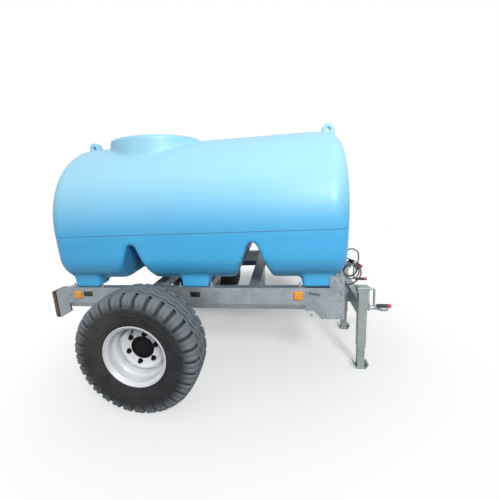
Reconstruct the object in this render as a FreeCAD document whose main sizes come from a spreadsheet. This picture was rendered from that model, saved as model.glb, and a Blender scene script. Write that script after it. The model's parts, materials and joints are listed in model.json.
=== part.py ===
import FreeCAD, Part
import math
import os
import Sketcher

# Water tank trailer. +X points forward to the towing eye, +Y to the trailer's left, +Z up.
# The origin is on the ground, midway between the rear lamps and the tip of the towing eye.

doc = FreeCAD.newDocument("water_tank_trailer")

# ---------------------------------------------------------------- driving dimensions
SIZES = {
    # running gear; every place along the trailer is given from the axle
    "axle_place": -490, "wheel_track": 1650, "tyre_radius": 422.5, "tyre_width": 290,
    "bead_radius": 196, "rim_width": 228, "rim_lip": 215, "rim_well": 168, "rim_wall": 7,
    "disc_wall": 10, "hub_bore": 80.5, "hub_radius": 80, "hub_nose": 4,
    "drum_radius": 150, "drum_width": 70, "axle_section": 70,
    # tank
    "tank_middle": 320, "tank_length": 2090, "tank_half": 640, "tank_floor": 805,
    "belly_radius": 190, "crown_centre": 1182, "end_radius": 110, "end_dish": 30,
    "foot_length": 200, "foot_width": 150, "foot_spacing": 855, "foot_inset": 14,
    "notch_spacing": 427, "notch_top": 1086, "notch_radius": 34, "notch_lean": 22,
    "collar_place": -100, "collar_radius": 370, "collar_top": 1860, "recess_radius": 305,
    "recess_floor": 1812, "neck_radius": 215, "neck_wall": 22, "neck_rise": 20,
    "lid_wall": 12, "eye_place": 995, "eye_rise": 20, "eye_outer": 44, "eye_hole": 14,
    "eye_width": 60, "outlet_rise": 950, "outlet_radius": 30, "outlet_reach": 70,
    "boss_radius": 72, "flange_wall": 14,
    # chassis
    "rail_half": 584, "rail_top": 755, "rail_web": 120, "rail_lip": 45, "rail_lean": 28,
    "rail_flange": 60, "rail_wall": 5, "rail_rear": -705, "rail_front": 1090,
    "nose_front": 1345, "nose_drop": 222, "nose_step": 55, "nose_slope": 50,
    "cross_depth": 60, "cross_width": 80, "saddle_width": 120,
    "slot_rear": -568, "slot_front": 281, "slot_length": 75, "slot_rise": 685, "slot_height": 40,
    "bracket_length": 95, "bracket_height": 80, "bracket_depth": 50, "bracket_wall": 5,
    # drawbar and jacks
    "drawbar_section": 100, "drawbar_rear": 700, "beam_wall": 6, "jack_place": 1528,
    "jack_half": 312, "jack_beam": 60, "jack_beam_rise": 120, "jack_beam_floor": 440,
    "jack_tube": 60, "jack_wall": 4, "jack_top": 628, "jack_tube_floor": 180, "slide_gap": 0.3,
    "leg_top": 500, "foot_plate": 76, "foot_lip": 39, "foot_wall": 8, "head_rise": 42,
    "head_length": 92, "head_width": 76, "crank_radius": 8, "crank_reach": 85,
    "crank_drop": 136, "grip_radius": 14, "grip_length": 105, "coupling_height": 360,
    "housing_length": 110, "housing_width": 100, "shaft_radius": 18, "tow_place": 1778,
    "eye_radius": 52, "tow_hole": 25, "eye_thick": 30,
    # lamps
    "lamp_rear": -850, "lamp_depth": 45, "lamp_width": 120, "lamp_rise": 215,
    "lamp_floor": 508, "marker_size": 62, "marker_depth": 12, "marker_rise": 668,
    "marker_rear": -645, "marker_front": 1013,
    # brake hose, hung on a holder at the front of the tank
    "holder_place": -243, "holder_wall": 6, "peg_forward": 1438, "peg_rise": 822, "peg_radius": 8,
    "peg_length": 76, "coil_radius": 60, "coil_thick": 16, "hose_radius": 5,
    "coupler_radius": 13, "coupler_length": 84, "cap_length": 24, "coupler_forward": 1474,
    "coupler_side": -263, "clip_length": 22, "clip_wall": 5,
    "coupler_rise": 838, "coupler_tilt": 33, "gland_radius": 12, "gland_rise": 18,
    "gap": 0.3,
}
sheet = doc.addObject("Spreadsheet::Sheet", "dims")
for row, (alias, number) in enumerate(SIZES.items(), start=1):
    sheet.set(f"A{row}", alias)
    sheet.set(f"B{row}", str(number))
    sheet.setAlias(f"B{row}", alias)
doc.recompute()

NODES = []


# ---------------------------------------------------------------- small helpers
def sized(text):
    """Write each size's name in an expression as a reference to the sheet."""
    out, word = "", ""
    for letter in str(text) + " ":
        if letter.isalnum() or letter == "_":
            word += letter
            continue
        out += ("dims." + word if word in SIZES else word) + letter
        word = ""
    return out.strip()


def bind(thing, **rules):
    for prop, rule in rules.items():
        thing.setExpression(prop.replace("__", "."), sized(rule))
    return thing


def along(place):
    """A place along the trailer that is measured forward from the axle."""
    return f"axle_place + ({place})"


def put(thing, x=0, y=0, z=0):
    return bind(thing, Placement__Base__x=x, Placement__Base__y=y, Placement__Base__z=z)


def node(label, thing):
    thing.Label = label
    NODES.append(thing)
    return thing


def box(name, x, y, z, length, width, height):
    """A block from its lowest corner (x, y, z)."""
    block = doc.addObject("Part::Box", name)
    bind(block, Length=length, Width=width, Height=height)
    return put(block, x, y, z)


TURN = {"x": FreeCAD.Rotation(FreeCAD.Vector(0, 1, 0), 90),
        "y": FreeCAD.Rotation(FreeCAD.Vector(1, 0, 0), -90),
        "z": FreeCAD.Rotation()}


def rod(name, axis, x, y, z, radius, length):
    """A cylinder that runs from (x, y, z) in the + direction of its axis."""
    pin = doc.addObject("Part::Cylinder", name)
    pin.Placement = FreeCAD.Placement(FreeCAD.Vector(), TURN[axis])
    bind(pin, Radius=radius, Height=length)
    return put(pin, x, y, z)


def cut(name, base, *tools):
    if len(tools) > 1:
        tool = fuse(name + "_tools", *tools)
    else:
        tool = tools[0]
    result = doc.addObject("Part::Cut", name)
    result.Base, result.Tool = base, tool
    return result


def fuse(name, *parts):
    result = doc.addObject("Part::MultiFuse", name)
    result.Shapes = list(parts)
    return result


def common(name, *parts):
    result = doc.addObject("Part::MultiCommon", name)
    result.Shapes = list(parts)
    return result


def apart(name, *solids):
    """Like pieces on one body that share a node without touching."""
    group = doc.addObject("Part::Compound", name)
    group.Links = list(solids)
    return group


PLANE = {"xy": "XY_Plane", "xz": "XZ_Plane", "yz": "YZ_Plane"}


def new_sketch(name, plane):
    body = doc.addObject("PartDesign::Body", name)
    sketch = body.newObject("Sketcher::SketchObject", name + "_outline")
    face = [f for f in body.Origin.OriginFeatures if f.Role == PLANE[plane]][0]
    sketch.AttachmentSupport = (face, [""])
    sketch.MapMode = "FlatFace"
    return body, sketch


def value(rule):
    """The number that a rule gives now."""
    number = sheet.evalExpression(sized(rule))
    return float(getattr(number, "Value", number))


def pin_point(sketch, item, end, x, y):
    for kind, rule in (("DistanceX", x), ("DistanceY", y)):
        number = sketch.addConstraint(Sketcher.Constraint(kind, -1, 1, item, end, value(rule)))
        sketch.setExpression(f"Constraints[{number}]", sized(rule))


def outline(sketch, points):
    """A closed outline of (x, y) rules. A point (x, y, cx, cy) leads on by an arc about (cx, cy),
    counterclockwise, and (x, y, cx, cy, -1) by a clockwise arc."""
    vector = FreeCAD.Vector
    starts = []
    for index, point in enumerate(points):
        following = points[(index + 1) % len(points)]
        a = vector(value(point[0]), value(point[1]), 0)
        b = vector(value(following[0]), value(following[1]), 0)
        if len(point) == 2:
            item = sketch.addGeometry(Part.LineSegment(a, b))
            starts.append((item, 1, 2))
            continue
        centre = vector(value(point[2]), value(point[3]), 0)
        turn = point[4] if len(point) == 5 else 1
        first, last = (a, b) if turn > 0 else (b, a)
        angles = [math.atan2(p.y - centre.y, p.x - centre.x) for p in (first, last)]
        circle = Part.Circle(centre, vector(0, 0, 1), (a - centre).Length)
        item = sketch.addGeometry(Part.ArcOfCircle(circle, angles[0], angles[1]))
        starts.append((item, 1, 2) if turn > 0 else (item, 2, 1))
    for index, (item, start, end) in enumerate(starts):
        following = starts[(index + 1) % len(starts)]
        sketch.addConstraint(Sketcher.Constraint("Coincident", item, end, following[0], following[1]))
    for point, (item, start, end) in zip(points, starts):
        pin_point(sketch, item, start, point[0], point[1])
    for index, (point, (item, start, end)) in enumerate(zip(points, starts)):
        if len(point) > 2:
            following = points[(index + 1) % len(points)]
            level = abs(value(following[1]) - value(point[1])) < abs(value(following[0]) - value(point[0]))
            kind, rule = ("DistanceY", point[3]) if level else ("DistanceX", point[2])
            number = sketch.addConstraint(Sketcher.Constraint(kind, -1, 1, item, 3, value(rule)))
            sketch.setExpression(f"Constraints[{number}]", sized(rule))


def pad(name, plane, points, length, both=False, reverse=False):
    body, sketch = new_sketch(name, plane)
    outline(sketch, points)
    feature = body.newObject("PartDesign::Pad", name + "_pad")
    feature.Profile = sketch
    feature.Midplane = both
    feature.Reversed = reverse
    bind(feature, Length=length)
    sketch.Visibility = False
    return body


def spun(name, plane, points, axis="H_Axis"):
    """A ring or disc turned about the sketch's horizontal axis."""
    body, sketch = new_sketch(name, plane)
    outline(sketch, points)
    feature = body.newObject("PartDesign::Revolution", name + "_turned")
    feature.Profile = sketch
    feature.ReferenceAxis = (sketch, [axis])
    feature.Angle = 360
    return body


def spun_upright(name, points):
    """A round piece turned about a vertical axis, from (radius, height) points."""
    return spun(name, "xz", points, axis="V_Axis")


def mirrored(points):
    """The same outline on the other side of the middle plane."""
    return [(f"-({x})", y) for x, y in reversed(points)]


SIDES = {"right": -1, "left": 1}


# ---------------------------------------------------------------- tank
def tank():
    flat = "(tank_half - belly_radius)"
    waist = "tank_floor + belly_radius"
    section = pad("tank_section", "yz", [
        (f"-{flat}", "tank_floor"),
        (flat, "tank_floor", flat, waist),
        ("tank_half", waist),
        ("tank_half", "crown_centre", "0", "crown_centre"),
        ("-tank_half", "crown_centre"),
        ("-tank_half", waist, f"-{flat}", waist)],
        "tank_length + 2 * end_dish", both=True)
    put(section, x=along("tank_middle"))
    dish = "(tank_half ^ 2 + end_dish ^ 2) / (2 * end_dish)"
    middle = "(tank_floor + crown_centre + tank_half) / 2"
    ends = []
    for name, sign in (("front", 1), ("rear", -1)):
        ball = doc.addObject("Part::Sphere", f"tank_{name}_dish")
        bind(ball, Radius=dish)
        centre = along(f"tank_middle + {sign} * (tank_length / 2 + end_dish - {dish})")
        ends.append(put(ball, x=centre, z=middle))
    barrel = common("tank_barrel", section, *ends)
    doc.recompute()
    rounded = doc.addObject("Part::Fillet", "tank_rounded")
    rounded.Base = barrel
    reach = value("tank_length / 2 - 2 * end_dish")
    radius = value("end_radius")
    rims = []
    for number, edge in enumerate(barrel.Shape.Edges, start=1):
        spread = edge.BoundBox
        if abs(spread.XMin - value(along("tank_middle"))) > reach and spread.XLength < value("3 * end_dish"):
            rims.append((number, radius, radius))
    rounded.Edges = rims

    lean = "notch_lean * 1 deg"
    across, up = f"notch_radius * cos({lean})", f"notch_top - notch_radius + notch_radius * sin({lean})"
    half = f"({across} + ({up} - tank_floor + 40) * tan({lean}))"
    tunnels = []
    for name, sign in (("front", 1), ("rear", -1)):
        tunnel = pad(f"{name}_tunnel", "xz", [
            (f"-{half}", "tank_floor - 40"),
            (half, "tank_floor - 40"),
            (across, up, "0", "notch_top - notch_radius"),
            (f"-{across}", up)],
            "3 * tank_half", both=True)
        tunnels.append(put(tunnel, x=along(f"tank_middle + {sign} * notch_spacing")))

    collar = rod("tank_collar", "z", along("collar_place"), 0, "crown_centre",
                 "collar_radius", "collar_top - crown_centre")
    recess = rod("tank_recess", "z", along("collar_place"), 0, "recess_floor",
                 "recess_radius", "collar_top")
    feet = []
    for side, sign in SIDES.items():
        low = "rail_half - foot_inset - foot_width"
        y = low if sign > 0 else f"-({low} + foot_width)"
        for number in (-1, 0, 1):
            feet.append(box(f"tank_foot_{side}_{number + 2}",
                            along(f"tank_middle + {number} * foot_spacing - foot_length / 2"), y, "rail_top",
                            "foot_length", "foot_width", "tank_floor + belly_radius / 2 - rail_top"))
    eyes, holes = [], []
    for name, sign in (("front", 1), ("rear", -1)):
        place = along(f"tank_middle + {sign} * eye_place")
        crown = "crown_centre + tank_half"
        eye = pad(f"tank_{name}_eye", "xz", [
            ("-eye_outer", f"{crown} - eye_outer"),
            ("eye_outer", f"{crown} - eye_outer"),
            ("eye_outer", f"{crown} + eye_rise", "0", f"{crown} + eye_rise"),
            ("-eye_outer", f"{crown} + eye_rise")],
            "eye_width", both=True)
        eyes.append(put(eye, x=place))
        holes.append(rod(f"tank_{name}_eye_hole", "y", place, "-eye_width", f"{crown} + eye_rise",
                         "eye_hole", "2 * eye_width"))
    boss = rod("tank_outlet_boss", "x", along("tank_middle - tank_length / 2 - end_dish"), 0,
               "outlet_rise", "boss_radius", "end_radius")
    whole = fuse("tank_whole", rounded, collar, boss, *feet, *eyes)
    node("tank", cut("tank_cut", whole, *tunnels, recess, *holes))


def lid():
    place = along("collar_place")
    ring = [("neck_radius - neck_wall", "0"), ("neck_radius", "0"), ("neck_radius", "neck_rise"),
            ("neck_radius - neck_wall", "neck_rise")]
    node("lid_neck", put(spun_upright("lid_neck_ring", ring), x=place, z="recess_floor"))
    skirt_in, skirt_out = "neck_radius + 3", "neck_radius + 3 + lid_wall"
    under, top = "neck_rise + gap", "neck_rise + gap + lid_wall"
    cap = [("0", under), (skirt_in, under), (skirt_in, "4"), (skirt_out, "4"), (skirt_out, top), ("0", top)]
    node("tank_lid", put(spun_upright("tank_lid_cap", cap), x=place, z="recess_floor"))


def outlet():
    rear = "tank_middle - tank_length / 2 - end_dish"
    start = along(f"{rear} - outlet_reach")
    flange = rod("outlet_flange", "x", along(f"{rear} - flange_wall"), 0, "outlet_rise",
                 "2 * outlet_radius", "flange_wall")
    pipe = rod("outlet_pipe", "x", start, 0, "outlet_rise", "outlet_radius", "outlet_reach")
    valve = rod("outlet_ball", "x", start, 0, "outlet_rise", "1.4 * outlet_radius", "outlet_reach / 2")
    bore = rod("outlet_bore", "x", start, 0, "outlet_rise", "0.8 * outlet_radius", "outlet_reach / 2")
    node("outlet_valve", cut("outlet", fuse("outlet_body", flange, pipe, valve), bore))


# ---------------------------------------------------------------- chassis
def rails():
    low, lip = "rail_top - rail_web", "rail_top - rail_web - rail_lip"
    folded = [
        ("rail_half - rail_flange", "rail_top - rail_wall"),
        ("rail_half - rail_wall", "rail_top - rail_wall"),
        ("rail_half - rail_wall", low),
        ("rail_half - rail_wall - rail_lean", lip),
        ("rail_half - rail_lean", lip),
        ("rail_half", low),
        ("rail_half", "rail_top"),
        ("rail_half - rail_flange", "rail_top")]
    for side, sign in SIDES.items():
        points = folded if sign > 0 else mirrored(folded)
        rail = pad(f"side_rail_{side}_fold", "yz", points, "rail_front - rail_rear")
        put(rail, x=along("rail_rear"))
        web = "rail_half - 2 * rail_wall" if sign > 0 else "-(rail_half + rail_wall)"
        slots = [box(f"rail_{side}_{place}", along(place), web, "slot_rise", "slot_length", "3 * rail_wall",
                     "slot_height") for place in ("slot_rear", "slot_front")]
        node(f"side_rail_{side}", cut(f"side_rail_{side}_slotted", rail, *slots))


def nose():
    lip, floor = "rail_top - rail_web - rail_lip", "rail_top - nose_drop"
    length = "(nose_front - rail_front)"
    for side, sign in SIDES.items():
        plate = pad(f"nose_plate_{side}_cut", "xz", [
            ("0", "rail_top"), ("0", lip), ("nose_step", lip), ("nose_step + nose_slope", floor),
            (length, floor), (length, "rail_top")], "rail_wall")
        y = "rail_half" if sign > 0 else "-(rail_half - rail_wall)"
        put(plate, x=along("rail_front"), y=y)
        slot = pad(f"nose_slot_{side}", "xz", [
            ("20", "rail_top - 46"), ("95", "rail_top - 60"), ("95", "rail_top - 40"), ("20", "rail_top - 26")],
            "4 * rail_half", both=True)
        put(slot, x=along("rail_front"))
        node(f"nose_plate_{side}", cut(f"nose_plate_{side}_slotted", plate, slot))
    depth = "-(cross_width)"
    top, inner = "rail_top", "rail_top - rail_wall"
    bend = pad("nose_front_fold", "xz", [
        (depth, floor), ("0", floor), ("0", top), (depth, top), (depth, inner),
        ("-rail_wall", inner), ("-rail_wall", f"{floor} + rail_wall"), (depth, f"{floor} + rail_wall")],
        "2 * (rail_half - rail_wall)", both=True)
    node("front_crossmember", put(bend, x=along("nose_front")))


def tube_across(name, middle, top):
    """A square crossmember that is welded between the rails."""
    start, half = f"{middle} - cross_width / 2", "(rail_half - rail_wall)"
    outer = box(name + "_outer", along(start), f"-{half}", f"{top} - cross_depth",
                "cross_width", f"2 * {half}", "cross_depth")
    inner = box(name + "_inner", along(f"{start} + rail_wall"), f"-{half}",
                f"{top} - cross_depth + rail_wall",
                "cross_width - 2 * rail_wall", f"2 * {half}", "cross_depth - 2 * rail_wall")
    node(name, cut(name + "_tube", outer, inner))


def crossmembers():
    under = "rail_top - rail_wall"
    tube_across("rear_crossmember", "rail_rear + cross_width / 2", under)
    tube_across("crossmember_axle", "0", under)
    tube_across("crossmember_middle", "tank_middle + 50", under)
    tube_across("crossmember_drawbar", "drawbar_rear + cross_width / 2", under)


def drawbar():
    top = "rail_top - nose_drop"
    length = "jack_place - jack_beam / 2 - drawbar_rear"
    outer = box("drawbar_outer", along("drawbar_rear"), "-drawbar_section / 2", f"{top} - drawbar_section",
                length, "drawbar_section", "drawbar_section")
    inner = box("drawbar_inner", along("drawbar_rear"), "beam_wall - drawbar_section / 2",
                f"{top} - drawbar_section + beam_wall", length,
                "drawbar_section - 2 * beam_wall", "drawbar_section - 2 * beam_wall")
    node("drawbar_beam", cut("drawbar_tube", outer, inner))
    hanger_outer = box("hanger_outer", along("drawbar_rear"), "-drawbar_section / 2", top, "cross_width",
                       "drawbar_section", "nose_drop - rail_wall - cross_depth")
    hanger_inner = box("hanger_inner", along("drawbar_rear + beam_wall"), "beam_wall - drawbar_section / 2",
                       top, "cross_width - 2 * beam_wall", "drawbar_section - 2 * beam_wall",
                       "nose_drop - rail_wall - cross_depth")
    node("drawbar_hanger", cut("hanger", hanger_outer, hanger_inner))
    node("jack_beam", box("jack_beam_bar", along("jack_place - jack_beam / 2"), "-(jack_half - jack_tube / 2)",
                          "jack_beam_floor", "jack_beam", "2 * jack_half - jack_tube", "jack_beam_rise"))
    start = "jack_place + jack_beam / 2"
    node("coupling_housing", box("housing_block", along(start), "-housing_width / 2",
                                 "coupling_height - 1.6 * shaft_radius", "housing_length", "housing_width",
                                 "jack_beam_floor + 0.8 * jack_beam_rise - coupling_height + 1.6 * shaft_radius"))
    shaft_start = f"({start} + housing_length)"
    stem_start = "(tow_place - 1.2 * eye_radius)"
    node("coupling_shaft", rod("shaft", "x", along(shaft_start), 0, "coupling_height", "shaft_radius",
                               f"{stem_start} - {shaft_start}"))
    ring = rod("eye_ring", "z", along("tow_place"), 0, "coupling_height - eye_thick / 2", "eye_radius",
               "eye_thick")
    hole = rod("eye_hole", "z", along("tow_place"), 0, "coupling_height - eye_thick", "tow_hole",
               "2 * eye_thick")
    stem = box("eye_stem", along(stem_start), "-shaft_radius", "coupling_height - eye_thick / 2",
               "0.4 * eye_radius", "2 * shaft_radius", "eye_thick")
    node("towing_eye", cut("eye", fuse("eye_solid", ring, stem), hole))


def tank_brackets():
    """Angles on the frame's front corners that hold the tank's front feet."""
    end = "tank_middle + foot_spacing + foot_length / 2 + gap"
    face, rear = "(rail_half - foot_inset + gap)", "(nose_front - bracket_length)"
    for side, sign in SIDES.items():
        y = face if sign > 0 else f"-({face} + bracket_wall)"
        plate = box(f"bracket_{side}_plate", along(rear), y, "rail_top", "bracket_length", "bracket_wall",
                    "bracket_height")
        y = f"{face} - bracket_depth" if sign > 0 else f"-{face}"
        flange = box(f"bracket_{side}_flange", along(end), y, "rail_top", f"nose_front - ({end})",
                     "bracket_depth", "bracket_wall")
        node(f"tank_bracket_{side}", fuse(f"tank_bracket_{side}_angle", plate, flange))


# ---------------------------------------------------------------- jacks
def jack(side, sign):
    x, y = "jack_place", f"{sign} * jack_half"
    half = "jack_tube / 2"
    outer = box(f"jack_{side}_outer", along(f"{x} - {half}"), f"{y} - {half}", "jack_tube_floor",
                "jack_tube", "jack_tube", "jack_top - jack_tube_floor")
    hollow = "(jack_tube - 2 * jack_wall)"
    inner = box(f"jack_{side}_inner", along(f"{x} - {hollow} / 2"), f"{y} - {hollow} / 2", "jack_tube_floor",
                hollow, hollow, "jack_top - jack_tube_floor")
    node(f"jack_tube_{side}", cut(f"jack_{side}_tube", outer, inner))
    node(f"jack_head_{side}", box(f"jack_{side}_head", along(f"{x} - head_length / 2"), f"{y} - head_width / 2",
                                  "jack_top", "head_length", "head_width", "head_rise"))
    height = "jack_top + head_rise / 2"
    front = f"{x} + head_length / 2"
    spindle = rod(f"jack_{side}_spindle", "x", along(front), y, height, "crank_radius",
                  "crank_reach - head_length / 2 + crank_radius")
    arm = rod(f"jack_{side}_arm", "z", along(f"{x} + crank_reach"), y, f"{height} - crank_drop",
              "crank_radius", "crank_drop + crank_radius")
    pin = rod(f"jack_{side}_pin", "x", along(f"{x} + crank_reach"), y, f"{height} - crank_drop",
              "crank_radius", "3 * crank_radius")
    grip = rod(f"jack_{side}_grip", "x", along(f"{x} + crank_reach + 2 * crank_radius"), y,
               f"{height} - crank_drop", "grip_radius", "grip_length")
    node(f"jack_crank_{side}", fuse(f"jack_{side}_crank", spindle, arm, pin, grip))
    thick = "(jack_tube - 2 * jack_wall - 2 * slide_gap)"
    leg = box(f"jack_{side}_leg", along(f"{x} - {thick} / 2"), f"{y} - {thick} / 2", 0,
              thick, thick, "leg_top")
    half_plate = "foot_plate / 2"
    tray = pad(f"jack_{side}_foot", "xz", [
        (f"-{half_plate}", "0"), (half_plate, "0"), (f"{half_plate} + foot_lip / 2", "foot_lip"),
        (f"{half_plate} + foot_lip / 2 - foot_wall", "foot_lip"), (f"{half_plate} - foot_wall", "foot_wall"),
        (f"-{half_plate} + foot_wall", "foot_wall"), (f"-{half_plate} - foot_lip / 2 + foot_wall", "foot_lip"),
        (f"-{half_plate} - foot_lip / 2", "foot_lip")], "foot_plate", both=True)
    put(tray, x=along(x), y=y)
    node(f"jack_leg_{side}", fuse(f"jack_{side}_foot_leg", leg, tray))


# ---------------------------------------------------------------- running gear
def axle():
    half = "(wheel_track / 2 - drum_width - disc_wall)"
    beam = box("axle_square", along("-axle_section / 2"), f"-{half}", "tyre_radius - axle_section / 2",
               "axle_section", f"2 * {half}", "axle_section")
    node("axle_beam", beam)
    lip = "rail_top - rail_web - rail_lip"
    for side, sign in SIDES.items():
        inner = "rail_half - rail_lean - rail_wall - saddle_width / 2"
        y = inner if sign > 0 else f"-({inner} + saddle_width / 2)"
        saddle = box(f"saddle_{side}_block", along("-axle_section"), y, "tyre_radius + axle_section / 2",
                     "2 * axle_section", "saddle_width / 2",
                     "rail_top - rail_wall - cross_depth - tyre_radius - axle_section / 2")
        node(f"axle_saddle_{side}", saddle)


def wheel(side, sign):
    y = f"{sign} * wheel_track / 2"
    half, bead = "tyre_width / 2", "rim_width / 2"
    tyre = [
        (f"-{bead} + rim_wall", "rim_lip + 4"), (f"-{bead} + rim_wall", "bead_radius"),
        (f"{bead} - rim_wall", "bead_radius"), (f"{bead} - rim_wall", "rim_lip + 4"),
        (half, "tyre_radius - 150"), (half, "tyre_radius - 75"),
        (f"{half} - 14", "tyre_radius - 28"), (f"{half} - 48", "tyre_radius"),
        (f"-{half} + 48", "tyre_radius"), (f"-{half} + 14", "tyre_radius - 28"),
        (f"-{half}", "tyre_radius - 75"), (f"-{half}", "tyre_radius - 150")]
    turned = spun(f"tyre_{side}_turned", "yz", tyre)
    node(f"tyre_{side}", put(turned, x=along("0"), y=y, z="tyre_radius"))
    well, wall = "rim_well", "rim_wall"
    seat = "(bead_radius - gap)"
    rim = [
        (f"-{bead}", f"{seat} - {wall}"), ("-0.2 * rim_width", f"{seat} - {wall}"),
        ("-0.12 * rim_width", well), ("0.12 * rim_width", well), ("0.2 * rim_width", f"{seat} - {wall}"),
        (bead, f"{seat} - {wall}"), (bead, f"rim_lip - {wall}"), (f"{bead} + {wall}", f"rim_lip - {wall}"),
        (f"{bead} + {wall}", "rim_lip"), (f"{bead} - {wall} + gap", "rim_lip"),
        (f"{bead} - {wall} + gap", seat), (f"0.2 * rim_width - {wall}", seat),
        (f"0.12 * rim_width - {wall}", f"{well} + {wall}"), (f"{wall} - 0.12 * rim_width", f"{well} + {wall}"),
        (f"{wall} - 0.2 * rim_width", seat), (f"-{bead} + {wall} - gap", seat),
        (f"-{bead} + {wall} - gap", "rim_lip"), (f"-{bead} - {wall}", "rim_lip"),
        (f"-{bead} - {wall}", f"rim_lip - {wall}"), (f"-{bead}", f"rim_lip - {wall}")]
    ring = put(spun(f"rim_{side}_ring", "yz", rim), x=along("0"), y=y, z="tyre_radius")
    low = f"{y} - disc_wall" if sign > 0 else y
    disc = rod(f"rim_{side}_disc", "y", along("0"), low, "tyre_radius", "rim_well", "disc_wall")
    bore = rod(f"rim_{side}_bore", "y", along("0"), f"{y} - rim_width", "tyre_radius", "hub_bore",
               "2 * rim_width")
    node(f"rim_{side}", cut(f"rim_{side}_whole", fuse(f"rim_{side}_solid", ring, disc), bore))
    drum_low = f"{y} - disc_wall - drum_width" if sign > 0 else f"{y} + disc_wall"
    drum = rod(f"hub_{side}_drum", "y", along("0"), drum_low, "tyre_radius", "drum_radius", "drum_width")
    nose_low = f"{y} - disc_wall" if sign > 0 else f"{y} - hub_nose"
    hub = rod(f"hub_{side}_nose", "y", along("0"), nose_low, "tyre_radius", "hub_radius",
              "hub_nose + disc_wall")
    node(f"hub_{side}", fuse(f"hub_{side}_whole", drum, hub))


# ---------------------------------------------------------------- lamps
def lamps(side, sign):
    plate_y = "rail_half" if sign > 0 else "-(rail_half - rail_wall)"
    reach = "(rail_rear - lamp_rear - lamp_depth)"
    plate = pad(f"lamp_bracket_{side}_cut", "xz", [
        ("0", "lamp_floor"), (reach, "lamp_floor + 55"), (reach, "rail_top"), ("0.5 * " + reach, "rail_top"),
        ("0", "lamp_floor + lamp_rise")], "rail_wall")
    put(plate, x=along("lamp_rear + lamp_depth"), y=plate_y)
    inner = "rail_half - rail_wall - lamp_width"
    back_y = inner if sign > 0 else f"-({inner} + lamp_width)"
    back = box(f"lamp_back_{side}", along("lamp_rear + lamp_depth"), back_y, "lamp_floor", "rail_wall",
               "lamp_width", "lamp_rise")
    node(f"lamp_bracket_{side}", fuse(f"lamp_bracket_{side}_whole", plate, back))
    lamp_y = "rail_half - lamp_width" if sign > 0 else "-rail_half"
    node(f"rear_lamp_{side}", box(f"rear_lamp_{side}_body", along("lamp_rear"), lamp_y, "lamp_floor",
                                  "lamp_depth", "lamp_width", "lamp_rise"))
    marker_y = "rail_half" if sign > 0 else "-(rail_half + marker_depth)"
    markers = [box(f"marker_{side}_{place}", along(place), marker_y, "marker_rise", "marker_size", "marker_depth",
                   "marker_size") for place in ("marker_rear", "marker_front")]
    node(f"side_markers_{side}", apart(f"markers_{side}", *markers))


# ---------------------------------------------------------------- brake hose
def hose(name, points):
    """A round hose along straight runs joined by the largest tangent arcs."""
    points = [FreeCAD.Vector(*point) for point in points]
    edges, start, length = [], points[0], 0
    for before, corner, after in zip(points, points[1:], points[2:]):
        into, out = corner - before, after - corner
        turn = into.getAngle(out)
        back = 0.45 * min(into.Length, out.Length)
        radius = back / math.tan(turn / 2)
        print(f"{name}: bend radius {radius:.0f} mm")
        into.normalize()
        out.normalize()
        first, last = corner - into * back, corner + out * back
        inward = out - into
        inward.normalize()
        middle = corner + inward * (radius / math.cos(turn / 2) - radius)
        edges.append(Part.LineSegment(start, first).toShape())
        edges.append(Part.Arc(first, middle, last).toShape())
        start = last
    edges.append(Part.LineSegment(start, points[-1]).toShape())
    path = Part.Wire(edges)
    radius = value("hose_radius")
    ring = Part.Wire(Part.Circle(points[0], points[1] - points[0], radius).toShape())
    solid = path.makePipeShell([ring], True, False)
    expected = math.pi * radius ** 2 * path.Length
    if abs(solid.Volume - expected) > 0.02 * expected:
        raise RuntimeError(f"{name} has volume {solid.Volume}, not {expected}")
    print(f"{name}: {path.Length:.0f} mm long")
    tube = doc.addObject("Part::Feature", name + "_tube")
    tube.Shape = solid
    return node(name, tube)


def tilted_rod(name, back, radius, length):
    """A cylinder on the coupler's sloping axis, from `back` behind its middle."""
    tilt = math.radians(value("coupler_tilt"))
    way = FreeCAD.Vector(math.cos(tilt), 0, -math.sin(tilt))
    middle = FreeCAD.Vector(value(along("coupler_forward")), value("coupler_side"), value("coupler_rise"))
    pin = doc.addObject("Part::Cylinder", name)
    bind(pin, Radius=radius, Height=length)
    pin.Placement = FreeCAD.Placement(middle - way * value(back), FreeCAD.Rotation(FreeCAD.Vector(0, 0, 1), way))
    return pin


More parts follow.
